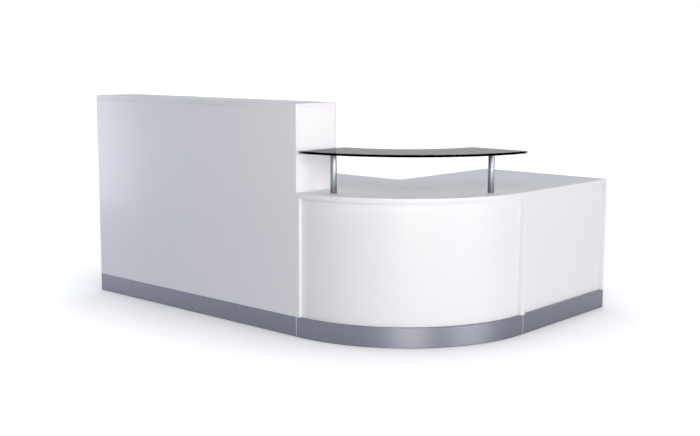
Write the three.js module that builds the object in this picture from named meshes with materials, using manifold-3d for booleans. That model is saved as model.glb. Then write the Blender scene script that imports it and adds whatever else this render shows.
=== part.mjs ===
// Reception desk of three units bolted side by side: a tall straight counter, a quarter-round corner
// with a glass shelf on two posts, and a low straight return. Millimetres, +Z up, origin on the floor
// under the middle. Visitors stand on the -Y and +X sides, staff in the angle behind.

import * as THREE from "three";
import { mergeVertices } from "three/addons/utils/BufferGeometryUtils.js";
import Module from "manifold-3d";

// The desk
const TALL_LENGTH = 1618;
const RETURN_LENGTH = 818;
const DEPTH = 800;
const WORKTOP_HEIGHT = 720;
const COUNTER_HEIGHT = 1150;
const COUNTER_DEPTH = 290;
const PLINTH_HEIGHT = 100;
const PLINTH_FLOOR_GAP = 2;
const SETBACK = 20;

// The boards
const BOARD = 18;
const WORKTOP_THICKNESS = 25;
const COUNTER_THICKNESS = 22;
const RAIL_WIDTH = 100;
const EASED_EDGE = 1;
const JOINT_GAP = 0.3;
const ARC_STEPS = 24;

// The saw kerfs that let the corner's front panel bend
const KERF_PITCH = 25;
const KERF_WIDTH = 3;
const KERF_DEPTH = 14;

// The glass shelf, its posts, and the bolts that hold the posts down
const GLASS_TOP = 928;
const GLASS_THICKNESS = 12;
const GLASS_OUTER_RADIUS = 819;
const GLASS_INNER_RADIUS = 489;
const GLASS_END_CLEARANCE = 50;
const GLASS_CORNER = 8;
const POST_DIAMETER = 32;
const POST_RADIUS = 681;
const POST_ANGLE = THREE.MathUtils.degToRad(10.6);
const PAD_THICKNESS = 2;
const BOLT_DIAMETER = 8;
const BOLT_ENGAGEMENT = 20;
const BOLT_HEAD_HEIGHT = 6;
const BOLT_HEAD_FLATS = 13;
const BOLT_FLANGE_DIAMETER = 18;
const BOLT_FLANGE_THICKNESS = 2;

// The connectors between units: a sleeve nut on one side and a screw on the other
const CONNECTOR_SETBACK = 110;
const CONNECTOR_HEIGHTS = { lower: 250, upper: 560 };
const CONNECTOR_HEAD_DIAMETER = 18;
const CONNECTOR_HEAD_THICKNESS = 2;
const SLEEVE_DIAMETER = 8;
const SLEEVE_SHORTFALL = 3;
const SCREW_DIAMETER = 5;
const SCREW_REACH = 24;

// The strip that covers the joint between two plinths
const STRIP_WIDTH = 6;
const STRIP_HEAD = 1;
const STRIP_WEB = 1.5;
const STRIP_WEB_DEPTH = 10;

// The levelling feet and the threaded inserts that they screw into
const GABLE_FLOOR_GAP = 14;
const FOOT_PAD_DIAMETER = 17;
const FOOT_PAD_HEIGHT = 6;
const FOOT_PAD_SLOPE = 2;
const FOOT_COLLAR_FLATS = 11;
const FOOT_STEM_DIAMETER = 8;
const FOOT_STEM_TOP = 46;
const INSERT_DIAMETER = 12;
const INSERT_FLANGE_DIAMETER = 16;
const INSERT_FLANGE_THICKNESS = 1.5;
const INSERT_LENGTH = 24;
const INSERT_BORE_DEPTH = 36;

// How far back from a unit's front edge its feet stand
const TALL_FEET = { front: 70, back: 750 };
const CORNER_LEFT_FEET = { front: 130, back: 690 };
const CORNER_RIGHT_FEET = { front: 70 };
const RETURN_NEAR_FEET = { front: 130, back: 740 };
const RETURN_FAR_FEET = { front: 70, back: 740 };

// How many flats stand for a full circle
const HARDWARE_STEPS = 12;
const FOOT_STEPS = 16;
const POST_STEPS = 32;
const CORNER_STEPS = 3;

// What follows from those sizes
const UNDER_WORKTOP = WORKTOP_HEIGHT - WORKTOP_THICKNESS;
const UNDER_COUNTER = COUNTER_HEIGHT - COUNTER_THICKNESS;
const EDGE_RADIUS = DEPTH - BOARD;
const PANEL_RADIUS = EDGE_RADIUS - SETBACK;
const FORMER_RADIUS = EDGE_RADIUS - BOARD - RAIL_WIDTH;
const CENTRE_X = BOARD;
const CENTRE_Y = EDGE_RADIUS;
const HALF_GAP = JOINT_GAP / 2;
const CLEARANCE = 2 * JOINT_GAP;

const wasm = await Module();
wasm.setup();

// Materials

const finish = (color, roughness, metalness) =>
  new THREE.MeshStandardMaterial({ color, roughness, metalness });
const whiteMelamine = () => finish(0xf1f2f5, 0.35, 0);
const aluminiumLaminate = () => finish(0x9a9ca8, 0.4, 0.8);
const satinAluminium = () => finish(0xc4c8ce, 0.3, 1);
const zincSteel = () => finish(0xb4b7ba, 0.4, 1);
const blackNylon = () => finish(0x1d1e20, 0.6, 0);
const clearRubber = () => finish(0xd8dcde, 0.5, 0);

function smokedGlass() {
  const material = finish(0x2a3034, 0.05, 0);
  material.transparent = true;
  material.opacity = 0.6;
  return material;
}

// Shapes

function solidOf(geometry) {
  const bare = new THREE.BufferGeometry();
  bare.setAttribute("position", geometry.getAttribute("position"));
  bare.setIndex(geometry.getIndex());
  const merged = mergeVertices(bare);
  const vertProperties = merged.getAttribute("position").array;
  const triVerts = new Uint32Array(merged.getIndex().array);
  return new wasm.Manifold(new wasm.Mesh({ numProp: 3, vertProperties, triVerts }));
}

function geometryOf(solid) {
  const { vertProperties, triVerts } = solid.getMesh();
  const indexed = new THREE.BufferGeometry();
  indexed.setAttribute("position", new THREE.BufferAttribute(vertProperties, 3));
  indexed.setIndex(new THREE.BufferAttribute(triVerts, 1));
  const geometry = indexed.toNonIndexed();
  geometry.computeVertexNormals();
  return geometry;
}

const cut = (body, tool) => geometryOf(solidOf(body).subtract(solidOf(tool)));
const join = (body, other) => geometryOf(solidOf(body).add(solidOf(other)));

const outlineOf = (...points) => new THREE.Shape(points.map(([x, y]) => new THREE.Vector2(x, y)));

const rectangle = (x0, y0, x1, y1) => outlineOf([x0, y0], [x1, y0], [x1, y1], [x0, y1]);

function bore(outline, x, y, diameter) {
  const circle = new THREE.EllipseCurve(x, y, diameter / 2, diameter / 2);
  outline.holes.push(new THREE.Path(circle.getPoints(HARDWARE_STEPS)));
}

// A small rounded corner, from the pen's place round a corner point to the next side.
function roundTo(shape, cornerX, cornerY, endX, endY) {
  const from = shape.currentPoint.clone();
  const corner = new THREE.Vector2(cornerX, cornerY);
  const to = new THREE.Vector2(endX, endY);
  const points = new THREE.QuadraticBezierCurve(from, corner, to).getPoints(CORNER_STEPS).slice(1);
  points.forEach((point) => shape.lineTo(point.x, point.y));
}

// A board cut from an outline, with eased edges, and small enough all round to leave a hairline joint.
function boardGeometry(outline, thickness) {
  const geometry = new THREE.ExtrudeGeometry(outline, {
    depth: thickness - JOINT_GAP - 2 * EASED_EDGE,
    curveSegments: ARC_STEPS,
    bevelThickness: EASED_EDGE,
    bevelSize: EASED_EDGE,
    bevelOffset: -EASED_EDGE - HALF_GAP,
    bevelSegments: 1,
  });
  return geometry.translate(0, 0, EASED_EDGE + HALF_GAP);
}

// A plain extrusion between two heights, with square edges.
function extrusion(outline, low, high) {
  const depth = high - low - JOINT_GAP;
  const options = { depth, curveSegments: ARC_STEPS, bevelEnabled: false };
  const geometry = new THREE.ExtrudeGeometry(outline, options);
  return geometry.translate(0, 0, low + HALF_GAP);
}

// A turned piece: its profile is a list of radius and height, and its axis is +Z.
function turned(profile, steps = HARDWARE_STEPS) {
  const points = profile.map(([radius, height]) => new THREE.Vector2(radius, height));
  return new THREE.LatheGeometry(points, steps).rotateX(Math.PI / 2);
}

function hexagon(acrossFlats, low, high) {
  const corner = acrossFlats / Math.sqrt(3);
  const prism = new THREE.CylinderGeometry(corner, corner, high - low, 6);
  return prism.rotateX(Math.PI / 2).translate(0, 0, (low + high) / 2);
}

function named(name, geometry, material) {
  const mesh = new THREE.Mesh(geometry, material);
  mesh.name = name;
  return mesh;
}

// A board lying flat, its outline seen from above.
function lying(name, outline, low, high, material = whiteMelamine()) {
  const mesh = named(name, boardGeometry(outline, high - low), material);
  mesh.position.z = low;
  return mesh;
}

// A board standing along a unit's front, its outline in length and height.
function fronting(name, outline, front, back, material = whiteMelamine()) {
  const mesh = named(name, boardGeometry(outline, back - front), material);
  mesh.rotation.x = Math.PI / 2;
  mesh.position.y = back;
  return mesh;
}

// Parts of every unit. A unit's own frame has x along its front from left to right, as a visitor sees
// it, y from the front edge back to the staff side, and z up from the floor.

function foot(name) {
  const radius = FOOT_PAD_DIAMETER / 2;
  const stem = FOOT_STEM_DIAMETER / 2;
  const collarTop = GABLE_FLOOR_GAP - INSERT_FLANGE_THICKNESS - JOINT_GAP;
  const profile = [
    [0, 0],
    [radius - EASED_EDGE, 0],
    [radius, EASED_EDGE],
    [radius, FOOT_PAD_HEIGHT - FOOT_PAD_SLOPE],
    [FOOT_COLLAR_FLATS / 2, FOOT_PAD_HEIGHT],
    [stem, FOOT_PAD_HEIGHT],
    [stem, FOOT_STEM_TOP - EASED_EDGE],
    [stem - EASED_EDGE, FOOT_STEM_TOP],
    [0, FOOT_STEM_TOP],
  ];
  const collar = hexagon(FOOT_COLLAR_FLATS, FOOT_PAD_HEIGHT - EASED_EDGE, collarTop);
  return named(name, join(turned(profile, FOOT_STEPS), collar), blackNylon());
}

function insert(name) {
  const inner = FOOT_STEM_DIAMETER / 2 + JOINT_GAP;
  const outer = INSERT_DIAMETER / 2;
  const flange = INSERT_FLANGE_DIAMETER / 2;
  const bottom = GABLE_FLOOR_GAP - INSERT_FLANGE_THICKNESS;
  const seat = GABLE_FLOOR_GAP - HALF_GAP;
  const top = GABLE_FLOOR_GAP + INSERT_LENGTH;
  const profile = [
    [inner, bottom],
    [flange, bottom],
    [flange, seat],
    [outer, seat],
    [outer, top],
    [inner, top],
    [inner, bottom],
  ];
  return named(name, turned(profile), zincSteel());
}

// A gable with its levelling feet: outline in depth and height, bored from below for the inserts.
function addGable(unit, prefix, outline, left, footDepths) {
  let geometry = boardGeometry(outline, BOARD);
  const boreRadius = INSERT_DIAMETER / 2 + JOINT_GAP;
  const boreTop = GABLE_FLOOR_GAP + INSERT_BORE_DEPTH;
  const middle = left + BOARD / 2;
  for (const [place, depth] of Object.entries(footDepths)) {
    const drill = new THREE.CylinderGeometry(boreRadius, boreRadius, boreTop, HARDWARE_STEPS);
    geometry = cut(geometry, drill.translate(depth, boreTop / 2, BOARD / 2));
    const pieces = [foot(`${prefix}_${place}_foot`), insert(`${prefix}_${place}_insert`)];
    pieces.forEach((piece) => piece.position.set(middle, depth, 0));
    unit.add(...pieces);
  }
  const mesh = named(`${prefix}_gable`, geometry, whiteMelamine());
  mesh.rotation.set(Math.PI / 2, Math.PI / 2, 0);
  mesh.position.x = left;
  unit.add(mesh);
}

// Where a unit joins its neighbour, the gable is bored for the connectors.
function boreForConnectors(outline) {
  for (const height of Object.values(CONNECTOR_HEIGHTS)) {
    bore(outline, CONNECTOR_SETBACK, height, SLEEVE_DIAMETER + CLEARANCE);
  }
  return outline;
}

// A tall gable steps back above the worktop, and stands behind the front panel and plinth.
const tallGable = () =>
  outlineOf(
    [BOARD, GABLE_FLOOR_GAP],
    [DEPTH, GABLE_FLOOR_GAP],
    [DEPTH, UNDER_WORKTOP],
    [COUNTER_DEPTH, UNDER_WORKTOP],
    [COUNTER_DEPTH, UNDER_COUNTER],
    [BOARD, UNDER_COUNTER],
  );

// A low gable shows its front edge over the plinth, which fits a notch at its foot.
const lowGable = (depth) =>
  outlineOf(
    [BOARD, GABLE_FLOOR_GAP],
    [depth, GABLE_FLOOR_GAP],
    [depth, UNDER_WORKTOP],
    [0, UNDER_WORKTOP],
    [0, PLINTH_HEIGHT],
    [BOARD, PLINTH_HEIGHT],
  );

function straightPlinth(name, left, right) {
  const outline = rectangle(left, PLINTH_FLOOR_GAP, right, PLINTH_HEIGHT);
  return fronting(name, outline, 0, BOARD, aluminiumLaminate());
}

// Tall straight unit

function tallUnit() {
  const unit = new THREE.Group();
  const innerRight = TALL_LENGTH - BOARD;
  const backUnderCounter = [
    [TALL_LENGTH, COUNTER_DEPTH],
    [TALL_LENGTH, DEPTH],
    [0, DEPTH],
    [0, COUNTER_DEPTH],
  ];
  const worktop = outlineOf(
    [BOARD, BOARD],
    [innerRight, BOARD],
    [innerRight, COUNTER_DEPTH],
    ...backUnderCounter,
    [BOARD, COUNTER_DEPTH],
  );
  const front = rectangle(0, PLINTH_HEIGHT, TALL_LENGTH, UNDER_COUNTER);
  const batten = rectangle(BOARD, UNDER_WORKTOP - RAIL_WIDTH, innerRight, UNDER_WORKTOP);
  const counter = rectangle(0, 0, TALL_LENGTH, COUNTER_DEPTH);
  unit.add(
    fronting("tall_front_panel", front, 0, BOARD),
    fronting("tall_worktop_batten", batten, BOARD, 2 * BOARD),
    lying("tall_worktop", worktop, UNDER_WORKTOP, WORKTOP_HEIGHT),
    lying("tall_counter_top", counter, UNDER_COUNTER, COUNTER_HEIGHT),
    straightPlinth("tall_plinth", 0, TALL_LENGTH - STRIP_WEB / 2),
  );
  addGable(unit, "tall_left", tallGable(), 0, TALL_FEET);
  addGable(unit, "tall_right", boreForConnectors(tallGable()), innerRight, TALL_FEET);
  return unit;
}

// Quarter-round corner unit

const aroundCentre = (radius, angle) => [
  CENTRE_X + radius * Math.cos(angle),
  CENTRE_Y + radius * Math.sin(angle),
];

// Quarter turn of the corner, from facing the tall unit's visitors to facing the return's.
const TURN_START = -Math.PI / 2;
const TURN_END = 0;

function quarterRing(outer, inner) {
  const shape = new THREE.Shape();
  shape.absarc(CENTRE_X, CENTRE_Y, outer, TURN_START, TURN_END, false);
  shape.absarc(CENTRE_X, CENTRE_Y, inner, TURN_END, TURN_START, true);
  return shape;
}

function cornerWorktopOutline() {
  const shape = new THREE.Shape();
  shape.moveTo(0, 0);
  shape.absarc(CENTRE_X, CENTRE_Y, EDGE_RADIUS, TURN_START, TURN_END, false);
  shape.lineTo(DEPTH, DEPTH);
  shape.lineTo(0, DEPTH);
  return shape;
}

function cornerPlinthOutline() {
  const near = STRIP_WEB / 2;
  const far = DEPTH - near;
  const shape = new THREE.Shape();
  shape.moveTo(near, 0);
  shape.absarc(CENTRE_X, CENTRE_Y, EDGE_RADIUS, TURN_START, TURN_END, false);
  shape.lineTo(DEPTH, far);
  shape.lineTo(DEPTH - BOARD, far);
  shape.absarc(CENTRE_X, CENTRE_Y, EDGE_RADIUS - BOARD, TURN_END, TURN_START, true);
  shape.lineTo(near, BOARD);
  return shape;
}

// The bent panel is a flat board sawn part through from the back at an even pitch, then closed on the
// formers: its face is a true arc, and its back is a row of staves with the kerfs open between them.
function bentPanelOutline() {
  const inner = PANEL_RADIUS - BOARD;
  const margin = HALF_GAP / inner;
  const start = TURN_START + margin;
  const end = TURN_END - margin;
  const staves = Math.round((inner * (end - start)) / KERF_PITCH);
  const halfKerf = KERF_WIDTH / inner / 2;
  const shape = new THREE.Shape();
  shape.absarc(CENTRE_X, CENTRE_Y, PANEL_RADIUS, start, end, false);
  shape.lineTo(...aroundCentre(inner, end));
  for (let kerf = staves - 1; kerf > 0; kerf--) {
    const angle = start + (kerf * (end - start)) / staves;
    shape.lineTo(...aroundCentre(inner, angle + halfKerf));
    shape.lineTo(...aroundCentre(inner + KERF_DEPTH, angle + halfKerf));
    shape.lineTo(...aroundCentre(inner + KERF_DEPTH, angle - halfKerf));
    shape.lineTo(...aroundCentre(inner, angle - halfKerf));
  }
  shape.lineTo(...aroundCentre(inner, start));
  return shape;
}

const postPlaces = {
  left: aroundCentre(POST_RADIUS, TURN_START + POST_ANGLE),
  right: aroundCentre(POST_RADIUS, TURN_END - POST_ANGLE),
};

function boreForPosts(outline) {
  for (const [x, y] of Object.values(postPlaces)) {
    bore(outline, x, y, BOLT_DIAMETER + CLEARANCE);
  }
  return outline;
}

function cornerUnit() {
  const unit = new THREE.Group();
  const former = quarterRing(PANEL_RADIUS - BOARD, FORMER_RADIUS);
  const base = quarterRing(EDGE_RADIUS - BOARD, FORMER_RADIUS);
  const panel = extrusion(bentPanelOutline(), PLINTH_HEIGHT, UNDER_WORKTOP);
  unit.add(
    named("corner_curved_panel", panel, whiteMelamine()),
    lying("corner_top_former", boreForPosts(former), UNDER_WORKTOP - BOARD, UNDER_WORKTOP),
    lying("corner_base_former", base, PLINTH_HEIGHT - BOARD, PLINTH_HEIGHT),
    lying("corner_worktop", boreForPosts(cornerWorktopOutline()), UNDER_WORKTOP, WORKTOP_HEIGHT),
    lying("corner_plinth", cornerPlinthOutline(), PLINTH_FLOOR_GAP, PLINTH_HEIGHT, aluminiumLaminate()),
  );
  const leftOutline = boreForConnectors(lowGable(EDGE_RADIUS));
  addGable(unit, "corner_left", leftOutline, 0, CORNER_LEFT_FEET);
  return unit;
}

// Glass shelf over the corner

// The glass is a quarter ring whose ends are cut square to the joints with the next units.
function glassOutline() {
  const [outer, inner] = [GLASS_OUTER_RADIUS, GLASS_INNER_RADIUS];
  const cutBack = (radius) => Math.asin((GLASS_END_CLEARANCE - CENTRE_X) / radius);
  const rounded = (radius) => cutBack(radius) + GLASS_CORNER / radius;
  const cornerAt = (radius, turn, sign) => aroundCentre(radius, turn + sign * cutBack(radius));
  const roundedAt = (radius, turn, sign) => aroundCentre(radius, turn + sign * rounded(radius));
  const [farX, farY] = cornerAt(outer, TURN_END, -1);
  const [innerFarX] = cornerAt(inner, TURN_END, -1);
  const [nearX, nearY] = cornerAt(inner, TURN_START, 1);
  const [, outerNearY] = cornerAt(outer, TURN_START, 1);
  const shape = new THREE.Shape();
  shape.absarc(CENTRE_X, CENTRE_Y, outer, TURN_START + rounded(outer), TURN_END - rounded(outer), false);
  roundTo(shape, farX, farY, farX - GLASS_CORNER, farY);
  shape.lineTo(innerFarX + GLASS_CORNER, farY);
  roundTo(shape, innerFarX, farY, ...roundedAt(inner, TURN_END, -1));
  shape.absarc(CENTRE_X, CENTRE_Y, inner, TURN_END - rounded(inner), TURN_START + rounded(inner), true);
  roundTo(shape, nearX, nearY, nearX, nearY - GLASS_CORNER);
  shape.lineTo(nearX, outerNearY + GLASS_CORNER);
  roundTo(shape, nearX, outerNearY, ...roundedAt(outer, TURN_START, 1));
  return shape;
}

function shelfPost(name) {
  const radius = POST_DIAMETER / 2;
  const hole = BOLT_DIAMETER / 2 + JOINT_GAP;
  const low = WORKTOP_HEIGHT + HALF_GAP;
  const high = GLASS_TOP - GLASS_THICKNESS - PAD_THICKNESS - HALF_GAP;
  const profile = [
    [0, low + BOLT_ENGAGEMENT + BOLT_DIAMETER],
    [hole, low + BOLT_ENGAGEMENT + BOLT_DIAMETER],
    [hole, low],
    [radius - EASED_EDGE, low],
    [radius, low + EASED_EDGE],
    [radius, high - EASED_EDGE],
    [radius - EASED_EDGE, high],
    [0, high],
  ];
  return named(name, turned(profile, POST_STEPS), satinAluminium());
}

function shelfPad(name) {
  const high = GLASS_TOP - GLASS_THICKNESS - HALF_GAP;
  const low = high - PAD_THICKNESS + JOINT_GAP;
  const radius = POST_DIAMETER / 2 - EASED_EDGE;
  const profile = [
    [0, low],
    [radius, low],
    [radius, high],
    [0, high],
  ];
  return named(name, turned(profile, POST_STEPS), clearRubber());
}

function shelfBolt(name) {
  const seat = UNDER_WORKTOP - BOARD - HALF_GAP;
  const tip = WORKTOP_HEIGHT + BOLT_ENGAGEMENT;
  const shank = BOLT_DIAMETER / 2;
  const flange = BOLT_FLANGE_DIAMETER / 2;
  const profile = [
    [0, seat - BOLT_FLANGE_THICKNESS],
    [flange, seat - BOLT_FLANGE_THICKNESS],
    [flange, seat],
    [shank, seat],
    [shank, tip - EASED_EDGE],
    [shank - EASED_EDGE, tip],
    [0, tip],
  ];
  const headTop = seat - BOLT_FLANGE_THICKNESS / 2;
  const head = hexagon(BOLT_HEAD_FLATS, headTop - BOLT_HEAD_HEIGHT, headTop);
  return named(name, join(turned(profile), head), zincSteel());
}

function glassShelf() {
  const shelf = new THREE.Group();
  shelf.add(lying("glass_shelf", glassOutline(), GLASS_TOP - GLASS_THICKNESS, GLASS_TOP, smokedGlass()));
  for (const [side, [x, y]] of Object.entries(postPlaces)) {
    const pieces = [
      shelfPost(`${side}_shelf_post`),
      shelfPad(`${side}_shelf_pad`),
      shelfBolt(`${side}_shelf_bolt`),
    ];
    pieces.forEach((piece) => piece.position.set(x, y, 0));
    shelf.add(...pieces);
  }
  return shelf;
}

// Low straight return

function returnUnit() {
  const unit = new THREE.Group();
  const innerRight = RETURN_LENGTH - BOARD;
  const panelBack = SETBACK + BOARD;
  const panel = rectangle(BOARD, PLINTH_HEIGHT, innerRight, UNDER_WORKTOP);
  const rail = rectangle(BOARD, UNDER_WORKTOP - RAIL_WIDTH, innerRight, UNDER_WORKTOP);
  const base = rectangle(BOARD, BOARD, innerRight, BOARD + RAIL_WIDTH);
  unit.add(
    fronting("return_front_panel", panel, SETBACK, panelBack),
    fronting("return_worktop_rail", rail, panelBack, panelBack + BOARD),
    lying("return_base_rail", base, PLINTH_HEIGHT - BOARD, PLINTH_HEIGHT),
    lying("return_worktop", rectangle(0, 0, RETURN_LENGTH, DEPTH), UNDER_WORKTOP, WORKTOP_HEIGHT),
    straightPlinth("return_plinth", STRIP_WEB / 2, RETURN_LENGTH),
  );
  addGable(unit, "return_near", boreForConnectors(lowGable(DEPTH)), 0, RETURN_NEAR_FEET);
  addGable(unit, "return_far", lowGable(DEPTH), innerRight, RETURN_FAR_FEET);
  return unit;
}

// Joint between two units, in the frame of the unit on its right

function connectorNut(name) {
  const head = CONNECTOR_HEAD_DIAMETER / 2;
  const sleeve = SLEEVE_DIAMETER / 2;
  const hole = SCREW_DIAMETER / 2 + JOINT_GAP;
  const seat = -BOARD - HALF_GAP;
  const face = seat - CONNECTOR_HEAD_THICKNESS;
  const tip = BOARD - SLEEVE_SHORTFALL;
  const threadEnd = BOARD - SCREW_REACH - SLEEVE_SHORTFALL;
  const profile = [
    [0, face],
    [head - EASED_EDGE, face],
    [head, face + EASED_EDGE],
    [head, seat],
    [sleeve, seat],
    [sleeve, tip],
    [hole, tip],
    [hole, threadEnd],
    [0, threadEnd],
  ];
  return named(name, turned(profile), zincSteel());
}

function connectorScrew(name) {
  const head = CONNECTOR_HEAD_DIAMETER / 2;
  const shank = SCREW_DIAMETER / 2;
  const seat = BOARD + HALF_GAP;
  const tip = BOARD - SCREW_REACH;
  const face = seat + CONNECTOR_HEAD_THICKNESS;
  const profile = [
    [0, tip],
    [shank, tip],
    [shank, seat],
    [head, seat],
    [head, face - EASED_EDGE],
    [head - EASED_EDGE, face],
    [0, face],
  ];
  return named(name, turned(profile), zincSteel());
}

function plinthStrip(name) {
  const half = STRIP_WIDTH / 2;
  const web = STRIP_WEB / 2 - HALF_GAP;
  const section = outlineOf(
    [-half, -STRIP_HEAD - HALF_GAP],
    [half, -STRIP_HEAD - HALF_GAP],
    [half, -HALF_GAP],
    [web, -HALF_GAP],
    [web, STRIP_WEB_DEPTH],
    [-web, STRIP_WEB_DEPTH],
    [-web, -HALF_GAP],
    [-half, -HALF_GAP],
  );
  return named(name, extrusion(section, PLINTH_FLOOR_GAP, PLINTH_HEIGHT), satinAluminium());
}

function unitJoint(prefix, stripName) {
  const joint = new THREE.Group();
  for (const [place, height] of Object.entries(CONNECTOR_HEIGHTS)) {
    const pieces = [connectorNut(`${prefix}_${place}_nut`), connectorScrew(`${prefix}_${place}_screw`)];
    for (const piece of pieces) {
      piece.rotation.y = Math.PI / 2;
      piece.position.set(0, CONNECTOR_SETBACK, height);
    }
    joint.add(...pieces);
  }
  joint.add(plinthStrip(stripName));
  return joint;
}

// Assembly: the tall unit and the corner share one front line, and the return turns off square to it.

const tallRun = new THREE.Group();
const tall = tallUnit();
tall.position.x = -TALL_LENGTH;
tallRun.add(tall, unitJoint("tall_joint", "left_plinth_strip"));

const returnRun = new THREE.Group();
addGable(returnRun, "corner_right", boreForConnectors(lowGable(DEPTH)), -BOARD, CORNER_RIGHT_FEET);
returnRun.add(returnUnit(), unitJoint("return_joint", "right_plinth_strip"));
returnRun.position.set(DEPTH, DEPTH, 0);
returnRun.rotation.z = Math.PI / 2;

const desk = new THREE.Group();
desk.add(tallRun, cornerUnit(), glassShelf(), returnRun);

// The origin is on the floor under the middle of the desk.
const bounds = new THREE.Box3().setFromObject(desk);
const middle = bounds.getCenter(new THREE.Vector3());
desk.position.set(-middle.x, -middle.y, -bounds.min.z);

const receptionDesk = new THREE.Group();
receptionDesk.name = "reception_desk";
receptionDesk.add(desk);

export default receptionDesk;
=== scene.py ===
"""A white reception desk: tall counter, quarter-round corner with a glass shelf, and low return.

The sections follow the desk as it is put together, from the levelling feet up to the glass.
"""

import math

import bmesh
import bpy
from mathutils import Matrix, Vector


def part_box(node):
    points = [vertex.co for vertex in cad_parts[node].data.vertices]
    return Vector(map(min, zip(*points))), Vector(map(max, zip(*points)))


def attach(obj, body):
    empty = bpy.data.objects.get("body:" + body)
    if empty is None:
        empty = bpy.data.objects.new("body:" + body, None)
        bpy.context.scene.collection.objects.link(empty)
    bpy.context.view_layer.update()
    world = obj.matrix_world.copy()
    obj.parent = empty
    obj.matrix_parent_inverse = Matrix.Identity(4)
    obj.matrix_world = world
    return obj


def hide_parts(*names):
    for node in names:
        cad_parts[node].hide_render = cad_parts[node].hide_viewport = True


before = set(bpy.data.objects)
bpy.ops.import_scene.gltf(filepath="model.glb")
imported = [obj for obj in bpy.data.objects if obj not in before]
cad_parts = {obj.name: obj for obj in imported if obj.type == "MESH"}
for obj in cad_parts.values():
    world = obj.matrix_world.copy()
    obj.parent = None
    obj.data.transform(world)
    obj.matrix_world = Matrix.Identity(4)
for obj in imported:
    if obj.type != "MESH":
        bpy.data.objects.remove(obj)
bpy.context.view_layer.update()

# Levelling feet
# Eleven moulded nylon feet, each a pad with a hexagon collar and a threaded stem. They screw into
# the inserts in the gables' bottom edges, so that the desk stands level on an uneven floor.

MM = 0.001
FOOT_PAD_RADIUS = 8.5 * MM
FOOT_PAD_RIM = 4 * MM
FOOT_PAD_HEIGHT = 6 * MM
FOOT_COLLAR_CORNER = 6.3 * MM
FOOT_COLLAR_TOP = 12.2 * MM
FOOT_STEM_RADIUS = 3.4 * MM
FOOT_STEM_TOP = 46 * MM
FOOT_EASE = 0.8 * MM
# The middle point of a rounded edge, as shares of its ease
EASE_INSET = 0.25
EASE_RISE = 0.3
THREAD_PITCH = 1.25 * MM
THREAD_RIDGE = 0.5 * MM
THREAD_LENGTH = FOOT_STEM_TOP - FOOT_COLLAR_TOP - 2 * THREAD_PITCH
THREAD_STEPS = 20
RIDGE_SIDES = 5
HEXAGON = 6
UP = Vector((0, 0, 1))
TURNED_STEPS = 48
TURNED_CREASE = math.radians(35)
NYLON_COLOUR = "#1d1e20"
NYLON_GRAIN = 1.5 * MM
NYLON_RELIEF = 0.1 * MM


def linear(colour):
    """An sRGB hex colour as linear red, green, blue and an opaque alpha."""
    parts = [int(colour[i : i + 2], 16) / 255 for i in (1, 3, 5)]
    return (*(c / 12.92 if c <= 0.04045 else ((c + 0.055) / 1.055) ** 2.4 for c in parts), 1.0)


def add_node(tree, kind, inputs=None, **settings):
    """Adds a node and gives its outputs. An input is a value, a socket, or a list of sockets."""
    node = tree.nodes.new(kind)
    for name, value in settings.items():
        setattr(node, name, value)
    for name, value in (inputs or {}).items():
        for item in value if isinstance(value, list) else [value]:
            if isinstance(item, bpy.types.NodeSocket):
                tree.links.new(item, node.inputs[name])
            else:
                node.inputs[name].default_value = item
    return node.outputs


def new_material(name):
    """An empty material and its tree, ready for nodes."""
    material = bpy.data.materials.new(name)
    material.use_nodes = True
    material.node_tree.nodes.clear()
    return material, material.node_tree


def moulded_nylon():
    """Black nylon, moulded: dull, with the fine grain of the mould.

    The real grain is about 0.2 mm; it is drawn coarser, so that it shows.
    """
    material, tree = new_material("moulded_black_nylon")
    place = add_node(tree, "ShaderNodeTexCoord")
    grain = add_node(
        tree,
        "ShaderNodeTexNoise",
        {"Vector": place["Object"], "Scale": 1 / NYLON_GRAIN, "Detail": 3.0},
    )
    dullness = add_node(
        tree, "ShaderNodeMapRange", {"Value": grain["Fac"], "To Min": 0.45, "To Max": 0.65}
    )
    bump = add_node(
        tree,
        "ShaderNodeBump",
        {"Height": grain["Fac"], "Strength": 0.3, "Distance": NYLON_RELIEF},
    )
    surface = add_node(
        tree,
        "ShaderNodeBsdfPrincipled",
        {
            "Base Color": linear(NYLON_COLOUR),
            "Roughness": dullness["Result"],
            "IOR": 1.53,
            "Normal": bump["Normal"],
        },
    )
    add_node(tree, "ShaderNodeOutputMaterial", {"Surface": surface["BSDF"]})
    return material


def finish_mesh(mesh, shape, crease):
    """Writes a shape to a mesh with its faces turned outwards, smooth but for its creases."""
    bmesh.ops.recalc_face_normals(shape, faces=shape.faces)
    shape.to_mesh(mesh)
    shape.free()
    mesh.shade_smooth()
    mesh.set_sharp_from_angle(angle=crease)


def new_piece(name, mesh):
    """A mesh as an object at the origin."""
    piece = bpy.data.objects.new(name, mesh)
    bpy.context.scene.collection.objects.link(piece)
    return piece


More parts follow.
